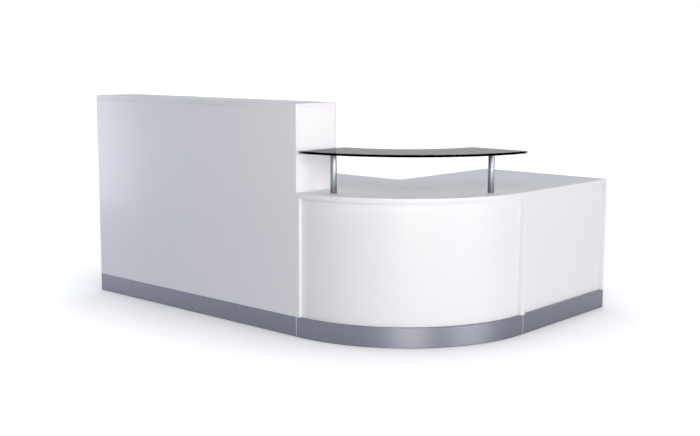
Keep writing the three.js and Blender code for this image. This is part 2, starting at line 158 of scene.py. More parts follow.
def turned_shape(name, profile, axis=UP):
    """A closed turned shape on an axis through the origin.

    The profile lists radius and height, and the number of flats where a part isn't round.
    """
    shape = bmesh.new()
    tilt = UP.rotation_difference(axis).to_matrix()
    rings = []
    for radius, height, *flats in profile:
        ring = []
        for i in range(TURNED_STEPS if radius else 1):
            angle = 2 * math.pi * i / TURNED_STEPS
            reach = radius
            if flats:
                half = math.pi / flats[0]
                reach *= math.cos(half) / math.cos(angle % (2 * half) - half)
            spot = Vector((reach * math.cos(angle), reach * math.sin(angle), height))
            ring.append(shape.verts.new(tilt @ spot))
        rings.append(ring)
    if profile[0][0]:
        rings.append(rings[0])
    for near, far in zip(rings, rings[1:]):
        for i in range(TURNED_STEPS):
            j = (i + 1) % TURNED_STEPS
            corners = [near[i % len(near)], near[j % len(near)]]
            corners += [far[j % len(far)], far[i % len(far)]]
            shape.faces.new(list(dict.fromkeys(corners)))
    mesh = bpy.data.meshes.new(name)
    finish_mesh(mesh, shape, TURNED_CREASE)
    return new_piece(name, mesh)


def new_shape_tree(name, inputs):
    """A geometry tree with one output and the named inputs, and the sockets of those inputs."""
    tree = bpy.data.node_groups.new(name, "GeometryNodeTree")
    tree.interface.new_socket("Geometry", in_out="OUTPUT", socket_type="NodeSocketGeometry")
    for label, kind in inputs.items():
        tree.interface.new_socket(label, in_out="INPUT", socket_type=f"NodeSocket{kind}")
    return tree, add_node(tree, "NodeGroupInput")


def end_shape_tree(tree, shape, material):
    """Realizes what the tree made, sets its material and sends it out."""
    real = add_node(tree, "GeometryNodeRealizeInstances", {"Geometry": shape})
    made = add_node(
        tree, "GeometryNodeSetMaterial", {"Geometry": real["Geometry"], "Material": material}
    )
    add_node(tree, "NodeGroupOutput", {"Geometry": made["Geometry"]})


def mesh_from_tree(name, tree, inputs, mesh=None):
    """A piece whose plain mesh is made by a geometry tree with the given inputs."""
    piece = new_piece(name, mesh or bpy.data.meshes.new(name))
    modifier = piece.modifiers.new("shape", "NODES")
    modifier.node_group = tree
    for socket in tree.interface.items_tree:
        if socket.in_out == "INPUT" and socket.name in inputs:
            modifier[socket.identifier] = inputs[socket.name]
    graph = bpy.context.evaluated_depsgraph_get()
    made = bpy.data.meshes.new_from_object(piece.evaluated_get(graph))
    piece.modifiers.remove(modifier)
    piece.data = made
    made.name = name
    return piece


def foot_tree():
    """The turned foot with a thread, which is a small ridge swept along a helix on the stem."""
    tree, given = new_shape_tree(
        "levelling_foot",
        {
            "Turned Foot": "Object",
            "Place": "Vector",
            "Stem Radius": "Float",
            "Thread Start": "Float",
            "Thread Length": "Float",
            "Thread Pitch": "Float",
            "Thread Ridge": "Float",
            "Material": "Material",
        },
    )
    foot = add_node(tree, "GeometryNodeObjectInfo", {"Object": given["Turned Foot"]})
    turns = add_node(
        tree,
        "ShaderNodeMath",
        {0: given["Thread Length"], 1: given["Thread Pitch"]},
        operation="DIVIDE",
    )
    helix = add_node(
        tree,
        "GeometryNodeCurveSpiral",
        {
            "Resolution": THREAD_STEPS,
            "Rotations": turns["Value"],
            "Start Radius": given["Stem Radius"],
            "End Radius": given["Stem Radius"],
            "Height": given["Thread Length"],
        },
    )
    ridge = add_node(
        tree,
        "GeometryNodeCurvePrimitiveCircle",
        {"Resolution": RIDGE_SIDES, "Radius": given["Thread Ridge"]},
    )
    thread = add_node(
        tree,
        "GeometryNodeCurveToMesh",
        {"Curve": helix["Curve"], "Profile Curve": ridge["Curve"], "Fill Caps": True},
    )
    start = add_node(tree, "ShaderNodeCombineXYZ", {"Z": given["Thread Start"]})
    lifted = add_node(
        tree,
        "GeometryNodeTransform",
        {"Geometry": thread["Mesh"], "Translation": start["Vector"]},
    )
    whole = add_node(
        tree, "GeometryNodeJoinGeometry", {"Geometry": [foot["Geometry"], lifted["Geometry"]]}
    )
    placed = add_node(
        tree,
        "GeometryNodeTransform",
        {"Geometry": whole["Geometry"], "Translation": given["Place"]},
    )
    end_shape_tree(tree, placed["Geometry"], given["Material"])
    return tree


turned_foot = turned_shape(
    "turned_foot",
    [
        (0, 0),
        (FOOT_PAD_RADIUS - FOOT_EASE, 0),
        (FOOT_PAD_RADIUS - EASE_INSET * FOOT_EASE, EASE_RISE * FOOT_EASE),
        (FOOT_PAD_RADIUS, FOOT_EASE),
        (FOOT_PAD_RADIUS, FOOT_PAD_RIM),
        (FOOT_COLLAR_CORNER, FOOT_PAD_HEIGHT),
        (FOOT_COLLAR_CORNER, FOOT_PAD_HEIGHT, HEXAGON),
        (FOOT_COLLAR_CORNER, FOOT_COLLAR_TOP - FOOT_EASE, HEXAGON),
        (FOOT_COLLAR_CORNER - FOOT_EASE, FOOT_COLLAR_TOP),
        (FOOT_STEM_RADIUS, FOOT_COLLAR_TOP),
        (FOOT_STEM_RADIUS, FOOT_STEM_TOP - FOOT_EASE),
        (FOOT_STEM_RADIUS - FOOT_EASE, FOOT_STEM_TOP),
        (0, FOOT_STEM_TOP),
    ],
)
nylon = moulded_nylon()
foot_shape = foot_tree()
foot_places = []
for node in sorted(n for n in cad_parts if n.endswith("_foot")):
    low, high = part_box(node)
    foot_places.append(Vector(((low.x + high.x) / 2, (low.y + high.y) / 2, 0)))
    piece = mesh_from_tree(
        f"{node}_moulding",
        foot_shape,
        {
            "Turned Foot": turned_foot,
            "Place": foot_places[-1],
            "Stem Radius": FOOT_STEM_RADIUS,
            "Thread Start": FOOT_COLLAR_TOP + THREAD_PITCH,
            "Thread Length": THREAD_LENGTH,
            "Thread Pitch": THREAD_PITCH,
            "Thread Ridge": THREAD_RIDGE,
            "Material": nylon,
        },
    )
    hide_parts(node)
    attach(piece, node)
bpy.data.objects.remove(turned_foot)

# Threaded inserts
# Eleven zinc-plated steel sleeves, screwed up into the gables' bottom edges, with a flange that
# takes the load. The levelling feet screw into them.

INSERT_FLANGE_RADIUS = 8 * MM
INSERT_BODY_RADIUS = 6 * MM
INSERT_BORE_RADIUS = 4.3 * MM
INSERT_BOTTOM = 12.5 * MM
INSERT_SEAT = 13.85 * MM
INSERT_TOP = 38 * MM
ZINC_COLOUR = "#b9bcc1"
ZINC_SPANGLE = 4 * MM


def zinc_plated_steel():
    """Zinc-plated steel: a dull bright metal, a little uneven where the plating is thicker."""
    material, tree = new_material("zinc_plated_steel")
    place = add_node(tree, "ShaderNodeTexCoord")
    spangle = add_node(
        tree,
        "ShaderNodeTexNoise",
        {"Vector": place["Object"], "Scale": 1 / ZINC_SPANGLE, "Detail": 4.0},
    )
    dullness = add_node(
        tree, "ShaderNodeMapRange", {"Value": spangle["Fac"], "To Min": 0.28, "To Max": 0.45}
    )
    surface = add_node(
        tree,
        "ShaderNodeBsdfPrincipled",
        {"Base Color": linear(ZINC_COLOUR), "Metallic": 1.0, "Roughness": dullness["Result"]},
    )
    add_node(tree, "ShaderNodeOutputMaterial", {"Surface": surface["BSDF"]})
    return material


def hardware_tree():
    """A turned shape set out at each vertex of the piece's own mesh."""
    tree, given = new_shape_tree(
        "hardware_set_out", {"Places": "Geometry", "Shape": "Object", "Material": "Material"}
    )
    shape = add_node(tree, "GeometryNodeObjectInfo", {"Object": given["Shape"]})
    spread = add_node(
        tree,
        "GeometryNodeInstanceOnPoints",
        {"Points": given["Places"], "Instance": shape["Geometry"]},
    )
    end_shape_tree(tree, spread["Instances"], given["Material"])
    return tree


hardware_shape = hardware_tree()


def set_out(name, shape, places, material):
    """One mesh of a turned shape at several places. The single shape is then removed."""
    points = bpy.data.meshes.new(f"{name}_places")
    points.from_pydata(places, [], [])
    piece = mesh_from_tree(name, hardware_shape, {"Shape": shape, "Material": material}, points)
    bpy.data.objects.remove(shape)
    return piece


insert = turned_shape(
    "turned_insert",
    [
        (INSERT_BORE_RADIUS, INSERT_BOTTOM),
        (INSERT_FLANGE_RADIUS, INSERT_BOTTOM),
        (INSERT_FLANGE_RADIUS, INSERT_SEAT),
        (INSERT_BODY_RADIUS, INSERT_SEAT),
        (INSERT_BODY_RADIUS, INSERT_TOP),
        (INSERT_BORE_RADIUS, INSERT_TOP),
    ],
)
zinc = zinc_plated_steel()
inserts = set_out("threaded_inserts", insert, foot_places, zinc)
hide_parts(*[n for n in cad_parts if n.endswith("_insert")])
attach(inserts, "desk")

# Gables, rails and straight white boards
# Chipboard 18, 22 and 25 mm thick, faced with white melamine and edged to match. The gables stand
# on the feet and carry the worktops; the rails tie them together.

MELAMINE_COLOUR = "#ebedf3"
MELAMINE_SHADE = "#e9ebf1"
PEARL_GRAIN = 2.2 * MM
PEARL_RELIEF = 0.05 * MM
CLOUD_SIZE = 350 * MM


def white_melamine():
    """White melamine: a cool white with a satin gloss, and the fine pearl grain of its press plate.

    The real grain is about 0.4 mm; it is drawn over five times as coarse, so that it shows.
    """
    material, tree = new_material("white_melamine_board")
    place = add_node(tree, "ShaderNodeTexCoord")
    pearl = add_node(
        tree,
        "ShaderNodeTexNoise",
        {"Vector": place["Object"], "Scale": 1 / PEARL_GRAIN, "Detail": 2.0},
    )
    cloud = add_node(
        tree,
        "ShaderNodeTexNoise",
        {"Vector": place["Object"], "Scale": 1 / CLOUD_SIZE, "Detail": 4.0},
    )
    tone = add_node(
        tree,
        "ShaderNodeMix",
        {"Factor": cloud["Fac"], "A": linear(MELAMINE_COLOUR), "B": linear(MELAMINE_SHADE)},
        data_type="RGBA",
    )
    dullness = add_node(
        tree,
        "ShaderNodeMapRange",
        {"Value": cloud["Fac"], "From Min": 0.3, "From Max": 0.7, "To Min": 0.34, "To Max": 0.36},
    )
    bump = add_node(
        tree,
        "ShaderNodeBump",
        {"Height": pearl["Fac"], "Strength": 0.12, "Distance": PEARL_RELIEF},
    )
    surface = add_node(
        tree,
        "ShaderNodeBsdfPrincipled",
        {
            "Base Color": tone["Result"],
            "Roughness": dullness["Result"],
            "IOR": 1.45,
            "Normal": bump["Normal"],
        },
    )
    add_node(tree, "ShaderNodeOutputMaterial", {"Surface": surface["BSDF"]})
    return material


melamine = white_melamine()
for node in (
    "tall_left_gable",
    "tall_right_gable",
    "tall_worktop_batten",
    "tall_worktop",
    "tall_front_panel",
    "tall_counter_top",
    "corner_left_gable",
    "corner_right_gable",
    "return_near_gable",
    "return_far_gable",
    "return_base_rail",
    "return_worktop_rail",
    "return_front_panel",
    "return_worktop",
):
    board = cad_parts[node]
    board.data.materials.clear()
    board.data.materials.append(melamine)

# Plinth
# Board faced with brushed aluminium laminate, three lengths: straight, bent round the corner,
# straight. It stands in front of the gables' feet, a little clear of the floor.

PLINTH_THICKNESS = 18 * MM
PLINTH_EASE = 1 * MM
PLINTH_LOW = 2.15 * MM
PLINTH_HIGH = 99.85 * MM
PLINTH_CREASE = math.radians(30)
LAMINATE_COLOUR = "#8b8e9a"
LAMINATE_SHADE = "#7e818c"
BRUSH_LENGTH = 60 * MM
BRUSH_WIDTH = 1.2 * MM
BRUSH_RELIEF = 0.05 * MM
CENTRE = Vector((408.691 * MM, -8.691 * MM, 0))
CORNER_RADIUS = 782 * MM
HAIRLINE = 0.15 * MM
ARC_STEPS = 96
QUARTER_TURN = math.pi / 2
FRONT = Vector((0, -1, 0))
SIDE = Vector((1, 0, 0))


def brushed_laminate():
    """Aluminium laminate, brushed along its length: a grey metal with long fine scratches.

    The scratches are about 0.1 mm apart on the real sheet; they are drawn coarser, so that they
    show.
    """
    material, tree = new_material("brushed_aluminium_laminate")
    along = add_node(tree, "ShaderNodeUVMap", uv_map="brush")
    stretch = add_node(
        tree,
        "ShaderNodeMapping",
        {"Vector": along["UV"], "Scale": (1 / BRUSH_LENGTH, 1 / BRUSH_WIDTH, 1.0)},
    )
    scratch = add_node(
        tree,
        "ShaderNodeTexNoise",
        {"Vector": stretch["Vector"], "Scale": 1.0, "Detail": 5.0, "Roughness": 0.65},
    )
    tone = add_node(
        tree,
        "ShaderNodeMix",
        {"Factor": scratch["Fac"], "A": linear(LAMINATE_SHADE), "B": linear(LAMINATE_COLOUR)},
        data_type="RGBA",
    )
    dullness = add_node(
        tree,
        "ShaderNodeMapRange",
        {"Value": scratch["Fac"], "From Min": 0.3, "From Max": 0.7, "To Min": 0.45, "To Max": 0.53},
    )
    bump = add_node(
        tree,
        "ShaderNodeBump",
        {"Height": scratch["Fac"], "Strength": 0.15, "Distance": BRUSH_RELIEF},
    )
    brushed = add_node(tree, "ShaderNodeTangent", direction_type="UV_MAP", uv_map="brush")
    surface = add_node(
        tree,
        "ShaderNodeBsdfPrincipled",
        {
            "Base Color": tone["Result"],
            "Metallic": 1.0,
            "Roughness": dullness["Result"],
            "Anisotropic": 0.78,
            "Anisotropic Rotation": 0.25,
            "Normal": bump["Normal"],
            "Tangent": brushed["Tangent"],
        },
    )
    add_node(tree, "ShaderNodeOutputMaterial", {"Surface": surface["BSDF"]})
    return material


def around(radius, angle):
    """A point of the corner's arcs: angle 0 is at the return, -90 degrees at the tall unit."""
    return CENTRE + radius * Vector((math.cos(angle), math.sin(angle), 0))


def arc(radius, start=-QUARTER_TURN, end=0.0):
    """Points along one of the corner's arcs, from start to end."""
    return [around(radius, start + (end - start) * i / ARC_STEPS) for i in range(ARC_STEPS + 1)]


def plinth_board(name, path):
    """A board that stands along a path, which is a list of points and outward normals.

    Its map follows the brushing: along the path, and up the face.
    """
    section = [
        (0, PLINTH_LOW + PLINTH_EASE),
        (0, PLINTH_HIGH - PLINTH_EASE),
        (PLINTH_EASE, PLINTH_HIGH),
        (PLINTH_THICKNESS - PLINTH_EASE, PLINTH_HIGH),
        (PLINTH_THICKNESS, PLINTH_HIGH - PLINTH_EASE),
        (PLINTH_THICKNESS, PLINTH_LOW + PLINTH_EASE),
        (PLINTH_THICKNESS - PLINTH_EASE, PLINTH_LOW),
        (PLINTH_EASE, PLINTH_LOW),
    ]
    shape = bmesh.new()
    brush = shape.loops.layers.uv.new("brush")
    rows = []
    travelled = 0.0
    for step, (point, normal) in enumerate(path):
        if step:
            travelled += (point - path[step - 1][0]).length
        row = [
            (shape.verts.new((*(point - depth * normal).xy, height)), travelled, depth + height)
            for depth, height in section
        ]
        rows.append(row)
    faces = [rows[0][::-1], rows[-1]]
    for before, after in zip(rows, rows[1:]):
        for i in range(len(section)):
            j = (i + 1) % len(section)
            faces.append([before[i], before[j], after[j], after[i]])
    for corners in faces:
        face = shape.faces.new([vertex for vertex, _, _ in corners])
        for loop, (_, u, v) in zip(face.loops, corners):
            loop[brush].uv = (u, v)
    mesh = bpy.data.meshes.new(name)
    finish_mesh(mesh, shape, PLINTH_CREASE)
    return new_piece(name, mesh)


laminate = brushed_laminate()
tall_low, tall_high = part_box("tall_plinth")
return_low, return_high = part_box("return_plinth")
corner_low, corner_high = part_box("corner_plinth")
bend = [(point, (point - CENTRE).normalized()) for point in arc(CORNER_RADIUS - HAIRLINE)]
plinth_paths = {
    "tall_plinth": [
        (Vector((tall_low.x, tall_low.y, 0)), FRONT),
        (Vector((tall_high.x, tall_low.y, 0)), FRONT),
    ],
    "corner_plinth": [
        (Vector((corner_low.x, corner_low.y, 0)), FRONT),
        *bend,
        (Vector((corner_high.x, corner_high.y, 0)), SIDE),
    ],
    "return_plinth": [
        (Vector((return_high.x, return_low.y, 0)), SIDE),
        (Vector((return_high.x, return_high.y, 0)), SIDE),
    ],
}
for node, path in plinth_paths.items():
    piece = plinth_board(f"{node}_board", path)
    piece.data.materials.append(laminate)
    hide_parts(node)
    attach(piece, "desk")

# Plinth strips
# Two extruded aluminium T-sections that cover the joints between the plinths. Their webs are pushed
# into the gaps.

ALUMINIUM_COLOUR = "#7f848c"
STRIP_COLOUR = "#b9bdc4"
DRAWN_LENGTH = 40 * MM
DRAWN_WIDTH = 0.8 * MM


def satin_aluminium(name, colour):
    """Satin anodised aluminium: a soft grey metal with fine lines along the drawn length.

    The lines are about 0.1 mm wide on the real bar; they are drawn coarser, so that they show.
    """
    material, tree = new_material(name)
    place = add_node(tree, "ShaderNodeTexCoord")
    stretch = add_node(
        tree,
        "ShaderNodeMapping",
        {
            "Vector": place["Object"],
            "Scale": (1 / DRAWN_WIDTH, 1 / DRAWN_WIDTH, 1 / DRAWN_LENGTH),
        },
    )
    lines = add_node(
        tree, "ShaderNodeTexNoise", {"Vector": stretch["Vector"], "Scale": 1.0, "Detail": 3.0}
    )
    dullness = add_node(
        tree,
        "ShaderNodeMapRange",
        {"Value": lines["Fac"], "From Min": 0.3, "From Max": 0.7, "To Min": 0.25, "To Max": 0.35},
    )
    surface = add_node(
        tree,
        "ShaderNodeBsdfPrincipled",
        {"Base Color": linear(colour), "Metallic": 1.0, "Roughness": dullness["Result"]},
    )
    add_node(tree, "ShaderNodeOutputMaterial", {"Surface": surface["BSDF"]})
    return material


aluminium = satin_aluminium("satin_anodised_aluminium", ALUMINIUM_COLOUR)
strip_aluminium = satin_aluminium("natural_anodised_aluminium", STRIP_COLOUR)
for node in ("left_plinth_strip", "right_plinth_strip"):
    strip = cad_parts[node]
    strip.data.materials.clear()
    strip.data.materials.append(strip_aluminium)

# Corner formers
# Two curved ribs of 18 mm white board, one under the worktop and one on the plinth. They hold the
# bent front panel to its radius.

BOARD_EASE = 1 * MM
BOARD_EASE_STEPS = 2
BOARD_CREASE = math.radians(50)
SHARP_ARRIS = math.radians(30)
FORMER_INNER = 664 * MM
FORMER_OUTER = {"corner_top_former": 744 * MM, "corner_base_former": 764 * MM}


def flat_board(name, outline, low, high, material, ease, ease_steps, crease):
    """A board lying flat: an outline seen from above, extruded, with its arrises eased."""
    shape = bmesh.new()
    base = shape.faces.new([shape.verts.new((point.x, point.y, low)) for point in outline])
    grown = bmesh.ops.extrude_face_region(shape, geom=[base])
    raised = [item for item in grown["geom"] if isinstance(item, bmesh.types.BMVert)]
    bmesh.ops.translate(shape, verts=raised, vec=(0, 0, high - low))
    bmesh.ops.recalc_face_normals(shape, faces=shape.faces)
    arrises = [
        edge
        for edge in shape.edges
        if len(edge.link_faces) == 2 and edge.calc_face_angle(0) > SHARP_ARRIS
    ]
    bmesh.ops.bevel(
        shape,
        geom=arrises,
        offset=ease,
        segments=ease_steps,
        profile=0.5,
        affect="EDGES",
        clamp_overlap=True,
    )
    mesh = bpy.data.meshes.new(name)
    finish_mesh(mesh, shape, crease)
    mesh.materials.append(material)
    return new_piece(name, mesh)


for node, former_radius in FORMER_OUTER.items():
    outer, inner = former_radius - HAIRLINE, FORMER_INNER + HAIRLINE
    trim_outer, trim_inner = HAIRLINE / outer, HAIRLINE / inner
    outline = arc(outer, -QUARTER_TURN + trim_outer, -trim_outer)
    outline += arc(inner, -trim_inner, -QUARTER_TURN + trim_inner)
    low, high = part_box(node)
    piece = flat_board(
        f"{node}_rib",
        outline,
        low.z,
        high.z,
        melamine,
        BOARD_EASE,
        BOARD_EASE_STEPS,
        BOARD_CREASE,
    )
    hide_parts(node)
    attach(piece, "desk")

# Corner front panel
# White melamine board sawn part through from the back at an even pitch, then bent round the
# formers. Its face is a true arc; its back is a row of staves, with the raw core bare in the kerfs
# between them.

PANEL_RADIUS = 762 * MM
PANEL_BOTTOM = 100.15 * MM
PANEL_TOP = 694.85 * MM
PANEL_SKIN = 4 * MM
PANEL_END_GAP = 0.2 * MM
PANEL_SWEEP = QUARTER_TURN - 2 * PANEL_END_GAP / PANEL_RADIUS
PANEL_CREASE = math.radians(30)
STAVES = 47
STAVE_DEPTH = 14 * MM
KERF_WIDTH = 3 * MM
KERF_ANGLE = KERF_WIDTH / PANEL_RADIUS
STAVE_PITCH = (PANEL_SWEEP + KERF_ANGLE) / STAVES
CORE_COLOUR = "#b08a62"
CORE_SHADE = "#8d6a48"
CORE_FIBRE = 1.5 * MM
CORE_RELIEF = 0.2 * MM
WELD_REACH = 0.001 * MM
STAVE_EDGES = 2
EDGE_ENDS = 2


def sawn_fibreboard():
    """Bare fibreboard as the saw leaves it: warm brown, matt and furry with short fibres.

    Real fibres are about 0.1 mm wide; they are drawn coarser, so that they show.
    """
    material, tree = new_material("sawn_fibreboard_core")
    place = add_node(tree, "ShaderNodeTexCoord")
    fibre = add_node(
        tree,
        "ShaderNodeTexNoise",
        {"Vector": place["Object"], "Scale": 1 / CORE_FIBRE, "Detail": 5.0, "Roughness": 0.7},
    )
    tone = add_node(
        tree,
        "ShaderNodeMix",
        {"Factor": fibre["Fac"], "A": linear(CORE_SHADE), "B": linear(CORE_COLOUR)},
        data_type="RGBA",
    )
    bump = add_node(
        tree,
        "ShaderNodeBump",
        {"Height": fibre["Fac"], "Strength": 0.5, "Distance": CORE_RELIEF},
    )
    surface = add_node(
        tree,
        "ShaderNodeBsdfPrincipled",
        {"Base Color": tone["Result"], "Roughness": 0.9, "IOR": 1.4, "Normal": bump["Normal"]},
    )
    add_node(tree, "ShaderNodeOutputMaterial", {"Surface": surface["BSDF"]})
    return material


def bent_panel_tree():
    """A sheet of stave and kerf columns, rolled to the arc, thickened, and grown at the staves.

    Each stave has two upright edges, and each edge a lower and an upper end, which is the order of
    the points. The faces follow it too: a stave's face has an even number and a kerf's an odd one.
    """
    tree, given = new_shape_tree(
        "bent_kerfed_panel",
        {
            "Centre": "Vector",
            "Radius": "Float",
            "Bottom": "Float",
            "Top": "Float",
            "Staves": "Int",
            "Start Angle": "Float",
            "Stave Pitch": "Float",
            "Stave Angle": "Float",
            "Skin": "Float",
            "Stave Depth": "Float",
            "Face Material": "Material",
            "Core Material": "Material",
        },
    )
    edges = add_node(
        tree, "FunctionNodeIntegerMath", {0: given["Staves"], 1: STAVE_EDGES}, operation="MULTIPLY"
    )
    sheet = add_node(
        tree, "GeometryNodeMeshGrid", {"Vertices X": edges[0], "Vertices Y": EDGE_ENDS}
    )
    index = add_node(tree, "GeometryNodeInputIndex")
    edge = add_node(
        tree, "FunctionNodeIntegerMath", {0: index[0], 1: EDGE_ENDS}, operation="DIVIDE"
    )
    stave = add_node(
        tree, "FunctionNodeIntegerMath", {0: edge[0], 1: STAVE_EDGES}, operation="DIVIDE"
    )
    far_side = add_node(
        tree, "FunctionNodeIntegerMath", {0: edge[0], 1: STAVE_EDGES}, operation="MODULO"
    )
    odd = add_node(
        tree, "FunctionNodeIntegerMath", {0: index[0], 1: EDGE_ENDS}, operation="MODULO"
    )
    stave_start = add_node(
        tree,
        "ShaderNodeMath",
        {0: stave[0], 1: given["Stave Pitch"], 2: given["Start Angle"]},
        operation="MULTIPLY_ADD",
    )
    angle = add_node(
        tree,
        "ShaderNodeMath",
        {0: far_side[0], 1: given["Stave Angle"], 2: stave_start[0]},
        operation="MULTIPLY_ADD",
    )
    height = add_node(
        tree,
        "ShaderNodeMapRange",
        {"Value": odd[0], "To Min": given["Bottom"], "To Max": given["Top"]},
    )
    unrolled = add_node(tree, "ShaderNodeCombineXYZ", {"X": given["Radius"], "Z": height["Result"]})
    spot = add_node(
        tree,
        "ShaderNodeVectorRotate",
        {"Vector": unrolled["Vector"], "Angle": angle[0]},
        rotation_type="Z_AXIS",
    )
    rolled = add_node(
        tree,
        "GeometryNodeSetPosition",
        {"Geometry": sheet["Mesh"], "Position": spot["Vector"]},
    )
    place = add_node(tree, "GeometryNodeInputPosition")
    level = add_node(
        tree, "ShaderNodeVectorMath", {0: place[0], 1: (-1, -1, 0)}, operation="MULTIPLY"
    )
    inward = add_node(tree, "ShaderNodeVectorMath", {0: level[0]}, operation="NORMALIZE")
    skin = add_node(
        tree,
        "GeometryNodeExtrudeMesh",
        {
            "Mesh": rolled["Geometry"],
            "Offset": inward["Vector"],
            "Offset Scale": given["Skin"],
            "Individual": False,
        },
    )
    stave_backs = add_node(
        tree, "FunctionNodeBooleanMath", {0: skin["Top"], 1: odd[0]}, operation="NIMPLY"
    )
    kerf_floors = add_node(
        tree, "FunctionNodeBooleanMath", {0: skin["Top"], 1: odd[0]}, operation="AND"
    )
    grown = add_node(
        tree,
        "GeometryNodeExtrudeMesh",
        {
            "Mesh": skin["Mesh"],
            "Selection": stave_backs[0],
            "Offset": inward["Vector"],
            "Offset Scale": given["Stave Depth"],
            "Individual": False,
        },
    )
    sawn = add_node(
        tree, "FunctionNodeBooleanMath", {0: kerf_floors[0], 1: grown["Side"]}, operation="OR"
    )
    marked = add_node(
        tree,
        "GeometryNodeStoreNamedAttribute",
        {"Geometry": grown["Mesh"], "Name": "sawn", "Value": sawn[0]},
        data_type="BOOLEAN",
        domain="FACE",
    )
    both = add_node(
        tree, "GeometryNodeJoinGeometry", {"Geometry": [rolled["Geometry"], marked["Geometry"]]}
    )
    closed = add_node(
        tree,
        "GeometryNodeMergeByDistance",
        {"Geometry": both["Geometry"], "Distance": WELD_REACH},
    )
    centred = add_node(
        tree,
        "GeometryNodeTransform",
        {"Geometry": closed["Geometry"], "Translation": given["Centre"]},
    )
    faced = add_node(
        tree,
        "GeometryNodeSetMaterial",
        {"Geometry": centred["Geometry"], "Material": given["Face Material"]},
    )
    real = add_node(tree, "GeometryNodeRealizeInstances", {"Geometry": faced["Geometry"]})
    bare = add_node(
        tree, "GeometryNodeInputNamedAttribute", {"Name": "sawn"}, data_type="BOOLEAN"
    )
    made = add_node(
        tree,
        "GeometryNodeSetMaterial",
        {
            "Geometry": real["Geometry"],
            "Selection": bare["Attribute"],
            "Material": given["Core Material"],
        },
    )
    add_node(tree, "NodeGroupOutput", {"Geometry": made["Geometry"]})
    return tree


curved_panel = mesh_from_tree(
    "corner_bent_panel",
    bent_panel_tree(),
    {
        "Centre": CENTRE,
        "Radius": PANEL_RADIUS,
        "Bottom": PANEL_BOTTOM,
        "Top": PANEL_TOP,
        "Staves": STAVES,
        "Start Angle": PANEL_END_GAP / PANEL_RADIUS - QUARTER_TURN,
        "Stave Pitch": STAVE_PITCH,
        "Stave Angle": STAVE_PITCH - KERF_ANGLE,
        "Skin": PANEL_SKIN,
        "Stave Depth": STAVE_DEPTH,
        "Face Material": melamine,
        "Core Material": sawn_fibreboard(),
    },
)
panel_shape = bmesh.new()
panel_shape.from_mesh(curved_panel.data)
finish_mesh(curved_panel.data, panel_shape, PANEL_CREASE)
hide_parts("corner_curved_panel")
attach(curved_panel, "desk")

# Corner worktop
# A quarter round of 25 mm white board with square backs, edged all round. It lies on the gables and
# on the upper former.

top_low, top_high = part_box("corner_worktop")
corner_worktop = flat_board(
    "corner_worktop_board",
    [
        Vector((top_low.x, top_low.y)),
        *arc(CORNER_RADIUS - HAIRLINE),
        Vector((top_high.x, top_high.y)),
        Vector((top_low.x, top_high.y)),
    ],
    top_low.z,
    top_high.z,
    melamine,
    BOARD_EASE,
    BOARD_EASE_STEPS,
    BOARD_CREASE,
)
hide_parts("corner_worktop")
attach(corner_worktop, "desk")

# Connectors between the units
# Zinc-plated sleeve nuts and screws clamp gable to gable, two at each joint. Their flat heads, with
# a hexagon socket, show on the inside of the gables.

CONNECTOR_HEAD_RADIUS = 9 * MM
CONNECTOR_HEAD_DEPTH = 2 * MM
CONNECTOR_HEAD_EASE = 0.8 * MM
SOCKET_CORNER = 2.9 * MM
SOCKET_RIM = 3.3 * MM
SOCKET_DEPTH = 1.7 * MM
SOCKET_LIP = 0.2 * MM
SLEEVE_RADIUS = 4 * MM
SLEEVE_BORE = 2.8 * MM
SLEEVE_FLOOR = 6 * MM
SLEEVE_LENGTH = 35.15 * MM
SCREW_RADIUS = 2.5 * MM
SCREW_LENGTH = 26.15 * MM
SCREW_POINT = 0.8 * MM

connector_head = [
    (0, SOCKET_DEPTH),
    (SOCKET_CORNER, SOCKET_DEPTH, HEXAGON),
    (SOCKET_CORNER, SOCKET_LIP, HEXAGON),
    (SOCKET_RIM, 0),
    (CONNECTOR_HEAD_RADIUS - CONNECTOR_HEAD_EASE, 0),
    (CONNECTOR_HEAD_RADIUS - EASE_INSET * CONNECTOR_HEAD_EASE, EASE_RISE * CONNECTOR_HEAD_EASE),
    (CONNECTOR_HEAD_RADIUS, CONNECTOR_HEAD_EASE),
    (CONNECTOR_HEAD_RADIUS, CONNECTOR_HEAD_DEPTH),
]
sleeve_nut = connector_head + [
    (SLEEVE_RADIUS, CONNECTOR_HEAD_DEPTH),
    (SLEEVE_RADIUS, SLEEVE_LENGTH),
    (SLEEVE_BORE, SLEEVE_LENGTH),
    (SLEEVE_BORE, SLEEVE_FLOOR),
    (0, SLEEVE_FLOOR),
]
connector_screw = connector_head + [
    (SCREW_RADIUS, CONNECTOR_HEAD_DEPTH),
    (SCREW_RADIUS, SCREW_LENGTH - SCREW_POINT),
    (SCREW_RADIUS - SCREW_POINT, SCREW_LENGTH),
    (0, SCREW_LENGTH),
]
for joint, axis in (("tall_joint", SIDE), ("return_joint", -FRONT)):
    for kind, profile, inwards in (("nut", sleeve_nut, axis), ("screw", connector_screw, -axis)):
        nodes = [f"{joint}_{place}_{kind}" for place in ("lower", "upper")]
        heads = []
        for node in nodes:
            low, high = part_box(node)
            heads.append((low + high) / 2 - abs((high - low).dot(axis)) / 2 * inwards)
        piece = set_out(f"{joint}_{kind}s", turned_shape(kind, profile, inwards), heads, zinc)
        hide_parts(*nodes)
        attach(piece, "desk")

# Shelf posts
# Two round aluminium bars, satin anodised, stand on the corner's worktop. A flanged bolt from below
# holds each one, and a clear pad bonds the glass to its top.

